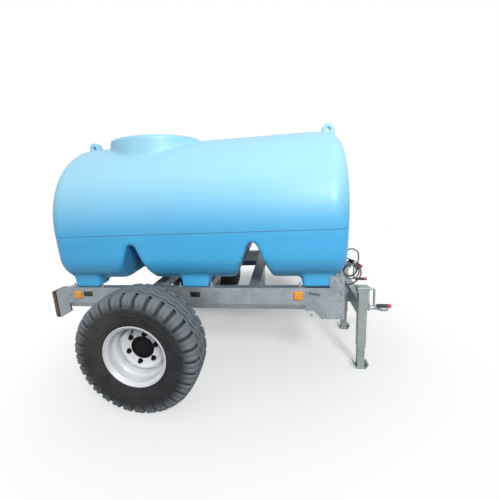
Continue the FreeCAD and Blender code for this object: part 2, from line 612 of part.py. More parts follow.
def brake_hose():
    face = "nose_front"
    plate = pad("holder_plate", "xz", [
        (face, "rail_top - 110"), (f"{face} + 27", "rail_top - 110"),
        (f"{face} + 43", "peg_rise - peg_radius"), ("coupler_forward + 11", "peg_rise - peg_radius"),
        ("coupler_forward + 11", "coupler_rise + 8"), (f"{face} + 20", "coupler_rise + 8"),
        (face, "peg_rise - 22")], "holder_wall", both=True)
    put(plate, x="axle_place", y="holder_place")
    peg = rod("holder_peg", "y", along("peg_forward"), "holder_place - peg_length", "peg_rise",
              "peg_radius", "peg_length")
    clip_outer = tilted_rod("holder_clip_outer", "clip_length / 2", "coupler_radius + clip_wall", "clip_length")
    clip_inner = tilted_rod("holder_clip_inner", "clip_length", "coupler_radius + gap", "2 * clip_length")
    node("hose_holder", cut("holder", fuse("holder_whole", plate, peg, clip_outer), clip_inner))
    node("hose_coupler", tilted_rod("coupler_body", "coupler_length / 2", "coupler_radius", "coupler_length"))
    node("coupler_cap", tilted_rod("coupler_end", "-coupler_length / 2", "coupler_radius + 1.5", "cap_length"))
    coil = doc.addObject("Part::Torus", "coil_ring")
    coil.Placement = FreeCAD.Placement(FreeCAD.Vector(), TURN["y"])
    bind(coil, Radius1="coil_radius", Radius2="coil_thick")
    drop = "(peg_rise + peg_radius + gap - coil_radius + coil_thick)"
    put(coil, x=along("peg_forward"), y="holder_place - 56", z=drop)
    node("hose_coil", coil)
    gland_z = "rail_top - nose_drop"
    node("hose_gland", rod("gland_nut", "z", along(1420), -30, gland_z, "gland_radius", "gland_rise"))

    axle_x = value("axle_place")
    tail = [(1438.5, -263, 861.2), (1424, -263, 870.7), (1412, -263, 889), (1410, -264, 911), (1419, -267, 932),
            (1436, -271, 945), (1458, -276, 948), (1479, -282, 941), (1494, -287, 925), (1500, -292, 899),
            (1500, -297, 855), (1497, -299, 812)]
    run = [(1498, -299, 780), (1497, -296, 736), (1478, -284, 690), (1442, -240, 652), (1420, -160, 632),
           (1419, -80, 642), (1420, -30, 606), (1420, -30, value(gland_z) + value("gland_rise"))]
    hose("hose_tail", [(x + axle_x, y, z) for x, y, z in tail])
    hose("hose_run", [(x + axle_x, y, z) for x, y, z in run])


def main():
    tank()
    lid()
    outlet()
    rails()
    nose()
    crossmembers()
    tank_brackets()
    drawbar()
    axle()
    brake_hose()
    for side, sign in SIDES.items():
        jack(side, sign)
        wheel(side, sign)
        lamps(side, sign)
    doc.recompute()
    for thing in doc.Objects:
        if "Invalid" in thing.State or "Error" in thing.State:
            raise RuntimeError(f"{thing.Label} did not build: {thing.State}")
    os.makedirs("parts", exist_ok=True)
    for piece in NODES:
        if piece.Shape.isNull() or not piece.Shape.isValid():
            raise RuntimeError(f"{piece.Label} has no valid shape")
        piece.Shape.exportStep(f"parts/{piece.Label}.step")


main()
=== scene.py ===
import json
import math

import bmesh
import bpy
import numpy as np
from mathutils import Matrix, Vector


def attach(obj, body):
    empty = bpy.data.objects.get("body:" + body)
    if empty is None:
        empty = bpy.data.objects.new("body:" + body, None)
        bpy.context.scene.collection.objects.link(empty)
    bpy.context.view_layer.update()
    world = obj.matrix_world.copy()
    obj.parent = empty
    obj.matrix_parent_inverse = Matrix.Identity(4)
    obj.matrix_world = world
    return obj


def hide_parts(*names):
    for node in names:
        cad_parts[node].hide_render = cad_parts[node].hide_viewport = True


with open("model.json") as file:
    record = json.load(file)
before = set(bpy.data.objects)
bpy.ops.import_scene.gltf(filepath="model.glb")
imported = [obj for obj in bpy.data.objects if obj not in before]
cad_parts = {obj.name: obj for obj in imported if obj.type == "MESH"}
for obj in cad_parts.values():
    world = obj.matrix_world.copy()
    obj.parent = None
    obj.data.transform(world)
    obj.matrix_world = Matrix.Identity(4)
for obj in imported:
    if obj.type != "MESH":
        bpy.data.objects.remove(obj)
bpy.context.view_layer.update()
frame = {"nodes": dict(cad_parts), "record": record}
NODES = frame["nodes"]
SIDES = {"right": -1, "left": 1}

# Places and sizes in metres, the same as in the CAD source.
AXLE, TRACK, TYRE, TYRE_WIDTH = -0.490, 1.650, 0.4225, 0.290
BEAD, RIM_WIDTH, BORE = 0.196, 0.228, 0.0805
TANK_MIDDLE, CROWN, SEAM = AXLE + 0.320, 1.822, 1.157
EYE_PLACE, EYE_RISE, EYE_OUTER, EYE_HOLE, EYE_WIDTH = 0.995, 0.020, 0.044, 0.014, 0.060
COLLAR, LID_FLOOR, NECK = AXLE - 0.100, 1.812, 0.215
RAIL, RAIL_TOP, FOOT_SPACING = 0.584, 0.755, 0.855
JACK, JACK_HALF, JACK_TOP = AXLE + 1.528, 0.312, 0.628
# The tread: pitches round the tyre, steps in a pitch, steps that a shoulder groove takes, its inner radius.
PITCHES, STEPS, GROOVE_STEPS, GROOVE_LOW = 30, 24, 7, 0.326
SLOT_REARS, SLOT_LENGTH, SLOT_HEIGHT, SLOT_MIDDLE = (-0.568, 0.281), 0.075, 0.040, 0.705


# ---------------------------------------------------------------- camera, floor and light
CAMERA_PLACE = Vector((0.4617, -2.4275, 1.4489))
CAMERA_YAW, CAMERA_PITCH, CAMERA_ROLL = 0.162, 0.203, 0.056
FOCAL_SHARE = 283.0 / 500
CENTRE_SHIFT = (0.0239, -0.0110)
SENSOR = 36.0


def make_camera():
    data = bpy.data.cameras.new("camera")
    camera = bpy.data.objects.new("camera", data)
    bpy.context.scene.collection.objects.link(camera)
    ahead = Vector((-math.sin(CAMERA_YAW), math.cos(CAMERA_YAW), 0))
    right = Vector((math.cos(CAMERA_YAW), math.sin(CAMERA_YAW), 0))
    up = Vector((0, 0, 1))
    look = ahead * math.cos(CAMERA_PITCH) - up * math.sin(CAMERA_PITCH)
    crown = up * math.cos(CAMERA_PITCH) + ahead * math.sin(CAMERA_PITCH)
    level_x = right * math.cos(CAMERA_ROLL) - crown * math.sin(CAMERA_ROLL)
    level_y = crown * math.cos(CAMERA_ROLL) + right * math.sin(CAMERA_ROLL)
    turn = Matrix((level_x, level_y, -look)).transposed().to_4x4()
    camera.matrix_world = Matrix.Translation(CAMERA_PLACE) @ turn
    data.sensor_width = SENSOR
    data.lens = FOCAL_SHARE * SENSOR
    data.shift_x, data.shift_y = CENTRE_SHIFT
    data.clip_start, data.clip_end = 0.05, 100
    bpy.context.scene.camera = camera


def maths(nodes, link, operation, first, second=None):
    node = nodes.new("ShaderNodeMath")
    node.operation = operation
    for socket, given in zip(node.inputs, (first, second)):
        if isinstance(given, (int, float)):
            socket.default_value = given
        elif given is not None:
            link(given, socket)
    return node.outputs["Value"]


def vector_maths(nodes, link, operation, first, second=None):
    node = nodes.new("ShaderNodeVectorMath")
    node.operation = operation
    link(first, node.inputs[0])
    if second:
        node.inputs[1].default_value = second
    return node.outputs["Value" if operation == "LENGTH" else "Vector"]


def ranged(nodes, link, value, low, high, to_low=0.0, to_high=1.0, smooth=False):
    """The value moved from one range to another and held at its ends."""
    node = nodes.new("ShaderNodeMapRange")
    node.interpolation_type = "SMOOTHSTEP" if smooth else "LINEAR"
    for name, number in (("From Min", low), ("From Max", high), ("To Min", to_low), ("To Max", to_high)):
        node.inputs[name].default_value = number
    link(value, node.inputs["Value"])
    return node.outputs["Result"]


def noise(nodes, link, spot, scale, detail):
    node = nodes.new("ShaderNodeTexNoise")
    node.inputs["Scale"].default_value, node.inputs["Detail"].default_value = scale, detail
    link(spot, node.inputs["Vector"])
    return node.outputs["Fac"]


def place_on(nodes, kind="Object"):
    return nodes.new("ShaderNodeTexCoord").outputs[kind]


def axes_of(nodes, link, spot):
    node = nodes.new("ShaderNodeSeparateXYZ")
    link(spot, node.inputs["Vector"])
    return node.outputs


def mixed_shaders(nodes, link, share, first, second):
    node = nodes.new("ShaderNodeMixShader")
    for socket, given in zip(node.inputs, (share, first, second)):
        link(given, socket)
    return node.outputs["Shader"]


def seen_rays(nodes, link):
    """1 for rays that show the background: straight from the camera, or by way of metal or glass."""
    ray = nodes.new("ShaderNodeLightPath").outputs
    total = maths(nodes, link, "MAXIMUM", ray["Is Camera Ray"], ray["Is Glossy Ray"])
    return maths(nodes, link, "MAXIMUM", total, ray["Is Transmission Ray"])


# Where the floor keeps its shadow: an oval's centre, one over its half lengths, the part of it over which
# the white comes back, and how much white is left at the centre. The first is under the trailer, where less
# white lets the real shadow show. The second, behind it, is partly the real shadow and partly painted shade:
# with little white left there, the floor also darkens where no shadow falls.
FLOOR_OVALS = (((0, 0, 0), (1, 1, 1), (0.9, 2.1), 0.50),
               ((-0.05, 1.45, 0), (1 / 1.20, 1 / 0.85, 1), (0.4, 1.45), 0.10))


def make_stage():
    mesh = bpy.data.meshes.new("floor")
    size = 30
    mesh.from_pydata([(-size, -size, 0), (size, -size, 0), (size, size, 0), (-size, size, 0)], [],
                     [(0, 1, 2, 3)])
    floor = bpy.data.objects.new("floor", mesh)
    bpy.context.scene.collection.objects.link(floor)
    paint = bpy.data.materials.new("floor")
    paint.use_nodes = True
    nodes, link = paint.node_tree.nodes, paint.node_tree.links.new
    shader = nodes["Principled BSDF"]
    shader.inputs["Base Color"].default_value = (0.80, 0.80, 0.80, 1)
    shader.inputs["Roughness"].default_value = 0.95
    shader.inputs["Specular IOR Level"].default_value = 0.0
    white = nodes.new("ShaderNodeEmission")
    white.inputs["Color"].default_value = (1, 1, 1, 1)
    spot, shares = place_on(nodes), []
    for centre, reach, (inner, outer), least in FLOOR_OVALS:
        place = vector_maths(nodes, link, "MULTIPLY", vector_maths(nodes, link, "SUBTRACT", spot, centre),
                             reach)
        far = vector_maths(nodes, link, "LENGTH", place)
        shares.append(ranged(nodes, link, far, inner, outer, least, 1.0, smooth=True))
    shown = mixed_shaders(nodes, link, maths(nodes, link, "MULTIPLY", *shares), shader.outputs["BSDF"],
                          white.outputs["Emission"])
    ground = nodes.new("ShaderNodeBsdfDiffuse")
    ground.inputs["Color"].default_value = (0.11, 0.11, 0.11, 1)
    both = mixed_shaders(nodes, link, seen_rays(nodes, link), ground.outputs["BSDF"], shown)
    link(both, nodes["Material Output"].inputs["Surface"])
    mesh.materials.append(paint)


def area_light(name, place, target, size, power, colour=(1, 1, 1)):
    data = bpy.data.lights.new(name, "AREA")
    data.shape = "DISK"
    data.size, data.energy, data.color = size, power, colour
    lamp = bpy.data.objects.new(name, data)
    bpy.context.scene.collection.objects.link(lamp)
    lamp.location = place
    lamp.rotation_euler = (Vector(target) - Vector(place)).to_track_quat("-Z", "Y").to_euler()
    return lamp


def make_light():
    area_light("key", (2.4, -5.0, 4.3), (-0.1, 0, 0.9), 1.3, 330, (1.0, 0.99, 0.97))
    area_light("fill", (-3.6, -4.2, 2.4), (-0.3, 0, 0.8), 2.6, 16, (0.95, 0.97, 1.0))
    world = bpy.data.worlds.new("world")
    world.use_nodes = True
    nodes, link = world.node_tree.nodes, world.node_tree.links.new
    sky = nodes["Background"]
    sky.inputs["Color"].default_value = (0.93, 0.96, 1.0, 1)
    up = axes_of(nodes, link, place_on(nodes, "Generated"))["Z"]
    link(ranged(nodes, link, up, -0.1, 0.9, 0.12, 0.66), sky.inputs["Strength"])
    white = nodes.new("ShaderNodeBackground")
    white.inputs["Color"].default_value = (1, 1, 1, 1)
    white.inputs["Strength"].default_value = 1.0
    both = mixed_shaders(nodes, link, seen_rays(nodes, link), sky.outputs["Background"],
                         white.outputs["Background"])
    link(both, nodes["World Output"].inputs["Surface"])
    bpy.context.scene.world = world
    bpy.context.scene.view_settings.view_transform = "Standard"


# ---------------------------------------------------------------- materials
def tint(paint, share, colour):
    """Mixes a colour over the material's own by a share from 0 to 1."""
    nodes, link = paint.node_tree.nodes, paint.node_tree.links.new
    base = nodes["Principled BSDF"].inputs["Base Color"]
    mix = nodes.new("ShaderNodeMix")
    mix.data_type = "RGBA"
    mix.inputs["B"].default_value = (*colour, 1)
    link(share, mix.inputs["Factor"])
    link(base.links[0].from_socket, mix.inputs["A"])
    link(mix.outputs["Result"], base)


def surface(name, colour, dark=None, rough=0.5, rough_swing=0.1, metal=0.0, scale=8.0, bump=0.0,
            bump_scale=120.0, coat=0.0, spangle=0.0, grime=0.0):
    """A material with clouded colour, uneven gloss, a fine bump and, for zinc, a faint spangle."""
    paint = bpy.data.materials.new(name)
    paint.use_nodes = True
    nodes, link = paint.node_tree.nodes, paint.node_tree.links.new
    shader = nodes["Principled BSDF"]
    shader.inputs["Metallic"].default_value = metal
    shader.inputs["Coat Weight"].default_value = coat
    spot = place_on(nodes)
    cloud = noise(nodes, link, spot, scale, 6)
    ramp = nodes.new("ShaderNodeValToRGB")
    ramp.color_ramp.elements[0].position, ramp.color_ramp.elements[1].position = 0.35, 0.68
    ramp.color_ramp.elements[0].color = (*(dark or [c * 0.8 for c in colour]), 1)
    ramp.color_ramp.elements[1].color = (*colour, 1)
    link(cloud, ramp.inputs["Fac"])
    tone = ramp.outputs["Color"]
    if spangle:
        flake = nodes.new("ShaderNodeTexVoronoi")
        flake.inputs["Scale"].default_value = 70
        link(spot, flake.inputs["Vector"])
        grey = nodes.new("ShaderNodeRGBToBW")
        link(flake.outputs["Color"], grey.inputs["Color"])
        shaded = nodes.new("ShaderNodeVectorMath")
        shaded.operation = "SCALE"
        link(tone, shaded.inputs[0])
        link(ranged(nodes, link, grey.outputs["Val"], 0, 1, 1 - spangle, 1 + spangle), shaded.inputs["Scale"])
        tone = shaded.outputs["Vector"]
    link(tone, shader.inputs["Base Color"])
    if grime:
        dust = noise(nodes, link, spot, 2.2, 8)
        tint(paint, ranged(nodes, link, dust, 0.45, 0.75, 0, grime), (0.23, 0.21, 0.18))
    gloss = ranged(nodes, link, cloud, 0, 1, max(0.02, rough - rough_swing), min(1.0, rough + rough_swing))
    link(gloss, shader.inputs["Roughness"])
    if bump:
        relief = nodes.new("ShaderNodeBump")
        relief.inputs["Strength"].default_value = bump
        relief.inputs["Distance"].default_value = 0.002
        link(noise(nodes, link, spot, bump_scale, 4), relief.inputs["Height"])
        link(relief.outputs["Normal"], shader.inputs["Normal"])
    return paint


def add_seam(paint, height, half_width):
    """A thin moulded parting line round the tank at that height."""
    nodes, link = paint.node_tree.nodes, paint.node_tree.links.new
    above = maths(nodes, link, "SUBTRACT", axes_of(nodes, link, place_on(nodes))["Z"], height)
    away = maths(nodes, link, "ABSOLUTE", above)
    tint(paint, ranged(nodes, link, away, half_width, half_width * 0.4), (0.035, 0.16, 0.30))


def pale_top_sheen(paint, low, high, colour):
    """Plastic paled towards the top: a painted sheen for the glossy highlight that the light from above leaves
    there.
    """
    nodes, link = paint.node_tree.nodes, paint.node_tree.links.new
    height = axes_of(nodes, link, place_on(nodes))["Z"]
    share = ranged(nodes, link, height, low, high, smooth=True)
    tint(paint, maths(nodes, link, "MULTIPLY", share, 0.75), colour)


def tread_dust_sheen_and_shade(paint):
    """Paler tread faces outside the sidewall, partly dust and partly a painted sheen, with painted shade that
    keeps the grooves dark.
    """
    nodes, link = paint.node_tree.nodes, paint.node_tree.links.new

    def calc(operation, first, second=None):
        return maths(nodes, link, operation, first, second)

    part = axes_of(nodes, link, place_on(nodes))
    x, z = calc("SUBTRACT", part["X"], AXLE), calc("SUBTRACT", part["Z"], TYRE)
    across = calc("SUBTRACT", part["Y"], calc("MULTIPLY", calc("SIGN", part["Y"]), TRACK / 2))
    y = calc("ABSOLUTE", across)
    radius = calc("SQRT", calc("ADD", calc("MULTIPLY", x, x), calc("MULTIPLY", z, z)))
    outside = ranged(nodes, link, radius, 0.318, 0.392, smooth=True)
    level = ranged(nodes, link, radius, 0.4145, 0.4185)
    groove_shade = calc("MULTIPLY", calc("LESS_THAN", y, 0.072), calc("SUBTRACT", 1.0, level))
    pitch = calc("MULTIPLY", calc("ARCTAN2", x, z), PITCHES / math.tau)
    flank = calc("MULTIPLY", calc("LESS_THAN", across, 0.0), 0.5)
    share = calc("FRACT", calc("ADD", calc("ADD", pitch, flank), PITCHES + 0.5 - GROOVE_STEPS / 2 / STEPS))
    gap = ranged(nodes, link, calc("ABSOLUTE", calc("SUBTRACT", share, 0.5)), 0.135, 0.095, smooth=True)
    low = ranged(nodes, link, radius, 0.330, 0.350)
    notch_shade = calc("MULTIPLY", calc("MULTIPLY", gap, low), calc("GREATER_THAN", y, 0.067))
    # Outer tread faces paled by dust and a painted sheen, except in the grooves.
    tint(paint, calc("MULTIPLY", outside, calc("SUBTRACT", 1.0, groove_shade)), (0.150, 0.172, 0.192))
    # Painted shade darkening the shoulder grooves and the crown grooves.
    tint(paint, calc("MULTIPLY", notch_shade, 0.85), (0.022, 0.023, 0.026))
    tint(paint, groove_shade, (0.008, 0.008, 0.009))


PAINTS = {
    "polyethylene": surface("polyethylene", (0.066, 0.43, 0.78), (0.054, 0.40, 0.75), 0.46, 0.05, scale=2.5,
                            bump=0.12, bump_scale=220, coat=0.06),
    "galvanised": surface("galvanised", (0.36, 0.405, 0.435), (0.285, 0.325, 0.355), 0.46, 0.10, 0.55, 9,
                          0.15, 60, spangle=0.10),
    "galvanised_cast": surface("galvanised_cast", (0.48, 0.51, 0.53), (0.34, 0.365, 0.385), 0.5, 0.12, 0.6,
                               20, 0.4, spangle=0.06),
    "zinc": surface("zinc", (0.37, 0.435, 0.415), (0.29, 0.35, 0.335), 0.42, 0.10, 0.5, 12, 0.15, 60,
                    spangle=0.06),
    "axle_paint": surface("axle_paint", (0.03, 0.03, 0.032), (0.015, 0.015, 0.016), 0.45, 0.1, 0, 12, 0.2,
                          grime=0.15),
    "hub_black": surface("hub_black", (0.006, 0.006, 0.008), (0.003, 0.003, 0.004), 0.55, 0.1, 0, 18, 0.2),
    "rim_silver": surface("rim_silver", (0.72, 0.74, 0.77), (0.64, 0.66, 0.69), 0.34, 0.06, 0.12, 7, 0.08,
                          coat=0.15, grime=0.10),
    "tyre": surface("tyre", (0.030, 0.031, 0.035), (0.016, 0.017, 0.019), 0.72, 0.12, 0, 16, 0.30, 180,
                    grime=0.20),
    "lid_plastic": surface("lid_plastic", (0.03, 0.03, 0.032), (0.02, 0.02, 0.022), 0.5, 0.1, 0, 20, 0.3),
    "valve_metal": surface("valve_metal", (0.05, 0.05, 0.055), (0.03, 0.03, 0.03), 0.4, 0.1, 0, 20, 0.2),
    "lamp_housing": surface("lamp_housing", (0.16, 0.012, 0.014), (0.10, 0.008, 0.010), 0.22, 0.05, 0, 40,
                            coat=0.5),
    "marker_amber": surface("marker_amber", (0.90, 0.36, 0.028), (0.80, 0.28, 0.02), 0.28, 0.05, 0, 60,
                            coat=0.4),
    "hose_rubber": surface("hose_rubber", (0.115, 0.125, 0.135), (0.07, 0.075, 0.08), 0.42, 0.1, 0, 30, 0.2),
    "cap_red": surface("cap_red", (0.60, 0.035, 0.05), (0.46, 0.025, 0.035), 0.35, 0.08, 0, 30),
}
add_seam(PAINTS["polyethylene"], SEAM, 0.0035)
# Painted sheen: the tank's plastic is paled towards the top.
pale_top_sheen(PAINTS["polyethylene"], 1.08, 1.60, (0.42, 0.74, 0.86))
tread_dust_sheen_and_shade(PAINTS["tyre"])
for slot, sheen in (("tyre", 0.22), ("hub_black", 0.12)):
    PAINTS[slot].node_tree.nodes["Principled BSDF"].inputs["Specular IOR Level"].default_value = sheen
PLASTIC_BLACK = surface("plastic_black", (0.018, 0.018, 0.02), (0.010, 0.010, 0.011), 0.42, 0.08, 0, 24, 0.15)


def paint_nodes():
    slots = {row["node"]: row["material_slot"] for row in frame["record"]["subparts"]}
    for name, thing in NODES.items():
        thing.data.materials.clear()
        thing.data.materials.append(PAINTS[slots[name]])


# ---------------------------------------------------------------- building pieces
def show(name, mesh, slot, body="root", paint=None, stands_for=()):
    """A piece in the scene with its finish, the body that carries it and the CAD nodes it replaces."""
    thing = bpy.data.objects.new(name, mesh)
    bpy.context.scene.collection.objects.link(thing)
    mesh.materials.clear()
    mesh.materials.append(paint or PAINTS[slot])
    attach(thing, body)
    if stands_for:
        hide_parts(*stands_for)
    return thing


def from_arrays(name, points, faces, sharp):
    mesh = bpy.data.meshes.new(name)
    mesh.from_pydata([tuple(float(v) for v in p) for p in points], [],
                     [tuple(int(v) for v in f) for f in faces])
    bm = bmesh.new()
    bm.from_mesh(mesh)
    bmesh.ops.recalc_face_normals(bm, faces=bm.faces)
    for edge in bm.edges:
        edge.smooth = len(edge.link_faces) == 2 and edge.calc_face_angle(0) < sharp
    for face in bm.faces:
        face.smooth = True
    bm.to_mesh(mesh)
    bm.free()
    return mesh


def merged(*parts):
    """(points, faces) pairs as one pair."""
    points, faces = [], []
    for some, their in parts:
        base = len(points)
        points.extend(some)
        faces.extend([[v + base for v in face] for face in their])
    return points, faces


def build(name, slot, *parts, sharp=40, **rest):
    """Shows (points, faces) parts as one piece; edges sharper than that many degrees stay crisp."""
    return show(name, from_arrays(name, *merged(*parts), sharp=math.radians(sharp)), slot, **rest)


def loft(rings, closed_ends=True, loop=False):
    """Closed rings of points joined one after another."""
    count, points, faces = len(rings[0]), [], []
    for ring in rings:
        points.extend(ring)
    last = len(rings) if loop else len(rings) - 1
    for i in range(last):
        here, there = i * count, ((i + 1) % len(rings)) * count
        for j in range(count):
            k = (j + 1) % count
            faces.append([here + j, here + k, there + k, there + j])
    if closed_ends and not loop:
        faces.append(list(range(count))[::-1])
        faces.append([len(points) - count + j for j in range(count)])
    return points, faces


def place_ring(flat, centre, axis):
    """(a, b) points of a ring, set at a centre square to an axis."""
    axis = Vector(axis).normalized()
    side = Vector((0, 0, 1)).cross(axis).normalized() if abs(axis.z) < 0.9 else Vector((1, 0, 0))
    up = axis.cross(side)
    return [tuple(Vector(centre) + side * a + up * b) for a, b in flat]


def circle(radius, count, turn=0.0):
    return [(radius * math.cos(turn + math.tau * i / count), radius * math.sin(turn + math.tau * i / count))
            for i in range(count)]


def turned(profile, start, axis, count=64):
    """A round piece from (radius, distance along the axis) points; its first and last radii close it."""
    axis = Vector(axis).normalized()
    rings = [place_ring(circle(max(r, 0.0002), count), Vector(start) + axis * d, axis) for r, d in profile]
    return loft(rings)


def rounded_corners(half_a, half_b, radius, steps=4):
    ring = []
    for corner, (sa, sb) in enumerate(((1, 1), (-1, 1), (-1, -1), (1, -1))):
        for i in range(steps + 1):
            angle = math.pi / 2 * (corner + i / steps)
            ring.append((sa * (half_a - radius) + radius * math.cos(angle),
                         sb * (half_b - radius) + radius * math.sin(angle)))
    return ring


def soft_block(centre, size, radius=0.004, axis=(0, 0, 1), corner=None):
    """A block with rounded corners and chamfered end rims. size is (side, side, length along the axis)."""
    a, b, length = size[0] / 2, size[1] / 2, size[2]
    axis = Vector(axis).normalized()
    corner = corner or radius
    rings = []
    for inset, d in ((radius, 0), (radius * 0.3, radius * 0.3), (0, radius), (0, length - radius),
                     (radius * 0.3, length - radius * 0.3), (radius, length)):
        flat = rounded_corners(a - inset, b - inset, max(corner - inset * 0.5, 0.0005))
        rings.append(place_ring(flat, Vector(centre) + axis * (d - length / 2), axis))
    return loft(rings)


def hexagon(place, axis, across, height, washer=True):
    """A nut or bolt head standing on a face, with its washer and a stub of thread."""
    axis = Vector(axis).normalized()
    place = Vector(place)
    pieces, base = [], 0.0
    if washer:
        pieces.append(turned([(across * 0.66, 0), (across * 0.68, 0.0008), (across * 0.66, 0.0018)], place,
                             axis, 20))
        base = 0.0014
    radius = across / 2 / math.cos(math.pi / 6)
    rings = [place_ring(circle(radius * k, 6), place + axis * (base + d), axis)
             for k, d in ((1, 0), (1, height * 0.85), (0.86, height))]
    pieces.append(loft(rings))
    pieces.append(turned([(across * 0.3, 0), (across * 0.3, height * 1.3), (across * 0.22, height * 1.45)],
                         place, axis, 12))
    return merged(*pieces)


def tube(points, radius, count=16, smooth_steps=8):
    """A round bar along points; bends are eased with a Catmull curve."""
    points = [Vector(p) for p in points]
    line = []
    for i in range(len(points) - 1):
        p0, p1, p2 = points[max(i - 1, 0)], points[i], points[i + 1]
        p3 = points[min(i + 2, len(points) - 1)]
        for step in range(smooth_steps):
            t = step / smooth_steps
            line.append(0.5 * ((2 * p1) + (p2 - p0) * t + (2 * p0 - 5 * p1 + 4 * p2 - p3) * t * t
                               + (3 * p1 - p0 - 3 * p2 + p3) * t ** 3))
    line.append(points[-1])
    rings, side = [], None
    for i, here in enumerate(line):
        way = (line[min(i + 1, len(line) - 1)] - line[max(i - 1, 0)]).normalized()
        side = way.orthogonal().normalized() if side is None else (side - way * side.dot(way)).normalized()
        up = way.cross(side)
        rings.append([tuple(here + side * (radius * math.cos(a)) + up * (radius * math.sin(a)))
                      for a in (math.tau * j / count for j in range(count))])
    return loft(rings)


# ---------------------------------------------------------------- tank
def copy_of(name):
    mesh = NODES[name].data.copy()
    mesh.transform(NODES[name].matrix_world)
    mesh.materials.clear()
    return mesh


def add_block(bm, low, high):
    matrix = Matrix.Translation((Vector(low) + Vector(high)) / 2) @ Matrix.Diagonal(
        (*(Vector(high) - Vector(low)), 1))
    bmesh.ops.create_cube(bm, size=1, matrix=matrix)


def tank_shell():
    """The moulded shell: the CAD tank without its lifting eyes, with soft edges and a raised top ridge."""
    shell = bpy.data.objects.new("tank_shell_source", copy_of("tank"))
    bpy.context.scene.collection.objects.link(shell)
    knife = bpy.data.meshes.new("eye_knife")
    bm = bmesh.new()
    for sign in (-1, 1):
        x = TANK_MIDDLE + sign * EYE_PLACE
        add_block(bm, (x - 0.06, -0.06, CROWN - 0.004), (x + 0.06, 0.06, CROWN + 0.12))
    bm.to_mesh(knife)
    bm.free()
    cutter = bpy.data.objects.new("eye_knife", knife)
    bpy.context.scene.collection.objects.link(cutter)
    off = shell.modifiers.new("eyes_off", "BOOLEAN")
    off.operation, off.object, off.solver = "DIFFERENCE", cutter, "EXACT"
    bpy.context.view_layer.update()
    mesh = bpy.data.meshes.new_from_object(shell.evaluated_get(bpy.context.evaluated_depsgraph_get()))
    bm = bmesh.new()
    bm.from_mesh(mesh)
    add_block(bm, (COLLAR + 0.30, -0.045, CROWN - 0.05),
              (TANK_MIDDLE + EYE_PLACE - 0.09, 0.045, CROWN + 0.010))
    bm.to_mesh(mesh)
    bm.free()
    source = bpy.data.objects.new("tank_shell_joined", mesh)
    bpy.context.scene.collection.objects.link(source)
    skin = source.modifiers.new("skin", "REMESH")
    skin.mode, skin.voxel_size, skin.adaptivity, skin.use_smooth_shade = "VOXEL", 0.0138, 0.0, True
    ease = source.modifiers.new("ease", "SMOOTH")
    ease.factor, ease.iterations = 0.5, 7
    bpy.context.view_layer.update()
    mesh = bpy.data.meshes.new_from_object(source.evaluated_get(bpy.context.evaluated_depsgraph_get()))
    mesh.name = "tank_shell"
    for old in (shell, cutter, source):
        bpy.data.objects.remove(old)
    for face in mesh.polygons:
        face.use_smooth = True
    show("tank_shell", mesh, "polyethylene", stands_for=["tank"])


def lifting_eye(name, x):
    """A moulded lug with a through hole, its rim rounded over."""
    steps, crown = 40, CROWN
    outer, inner = [], []
    for i in range(steps):
        angle = math.tau * i / steps
        outer.append((EYE_OUTER * math.cos(angle), EYE_RISE + EYE_OUTER * math.sin(angle)))
        inner.append((EYE_HOLE * math.cos(angle), EYE_RISE + EYE_HOLE * math.sin(angle)))
    foot = EYE_OUTER * 1.18
    for i, (a, b) in enumerate(outer):
        if b < EYE_RISE:
            outer[i] = (foot * (1 if a > 0 else -1) * min(1, abs(a) / EYE_OUTER * 1.25), -0.030)
    half, soft = EYE_WIDTH / 2, 0.006
    rings = []
    for flat, y, grow in ((inner, -half + soft, 0), (inner, -half + soft * 0.3, 0.0018), (inner, -half, 0.006),
                          (outer, -half, -0.006), (outer, -half + soft * 0.3, -0.0018), (outer, -half + soft, 0),
                          (outer, half - soft, 0), (outer, half - soft * 0.3, -0.0018), (outer, half, -0.006),
                          (inner, half, 0.006), (inner, half - soft * 0.3, 0.0018), (inner, half - soft, 0)):
        ring = []
        for a, b in flat:
            away = Vector((a, b - EYE_RISE))
            away = away * (1 + grow / away.length)
            ring.append((x + away.x, y, crown + EYE_RISE + away.y))
        rings.append(ring)
    build(name, "polyethylene", loft(rings, loop=True))


def lid():
    skirt, top = NECK + 0.015, 0.0323
    rings = []
    count = 192
    for radius, height, ribbed in ((0.0, top + 0.001, 0), (0.10, top + 0.001, 0), (0.105, top - 0.002, 0),
                                   (0.165, top - 0.002, 0), (0.170, top + 0.001, 0), (skirt - 0.008, top, 0),
                                   (skirt - 0.003, top - 0.002, 0.5), (skirt - 0.0005, top - 0.006, 1),
                                   (skirt - 0.0005, 0.008, 1), (skirt - 0.002, 0.004, 0.5),
                                   (skirt - 0.010, 0.004, 0), (skirt - 0.012, top - 0.012, 0),
                                   (0.0, top - 0.012, 0)):
        ring = []
        for i in range(count):
            angle = math.tau * i / count
            dent = 0.004 * ribbed * (0.5 + 0.5 * math.cos(32 * angle)) ** 2
            r = max(radius - dent, 0.0004)
            ring.append((COLLAR + r * math.cos(angle), r * math.sin(angle), LID_FLOOR + height))
        rings.append(ring)
    body = loft(rings, closed_ends=True)
    bars = []
    for turn in (0, math.pi / 2):
        way = Vector((math.cos(turn), math.sin(turn), 0))
        centre = Vector((COLLAR, 0, LID_FLOOR + top + 0.0045))
        bars.append(soft_block(centre, (0.026, 0.010, 0.29), 0.003, axis=way))
    build("screw_lid", "lid_plastic", body, *bars, body="lid", stands_for=["tank_lid"])
    profile = [(0.193, 0.0), (0.215, 0.0), (0.215, 0.004), (0.2125, 0.006), (0.215, 0.008), (0.215, 0.012),
               (0.2125, 0.014), (0.215, 0.016), (0.215, 0.019), (0.214, 0.020), (0.194, 0.020),
               (0.193, 0.019)]
    rings = [place_ring(circle(r, 96), Vector((COLLAR, 0, LID_FLOOR + h)), (0, 0, 1)) for r, h in profile]
    build("threaded_neck", "lid_plastic", loft(rings, loop=True), stands_for=["lid_neck"])


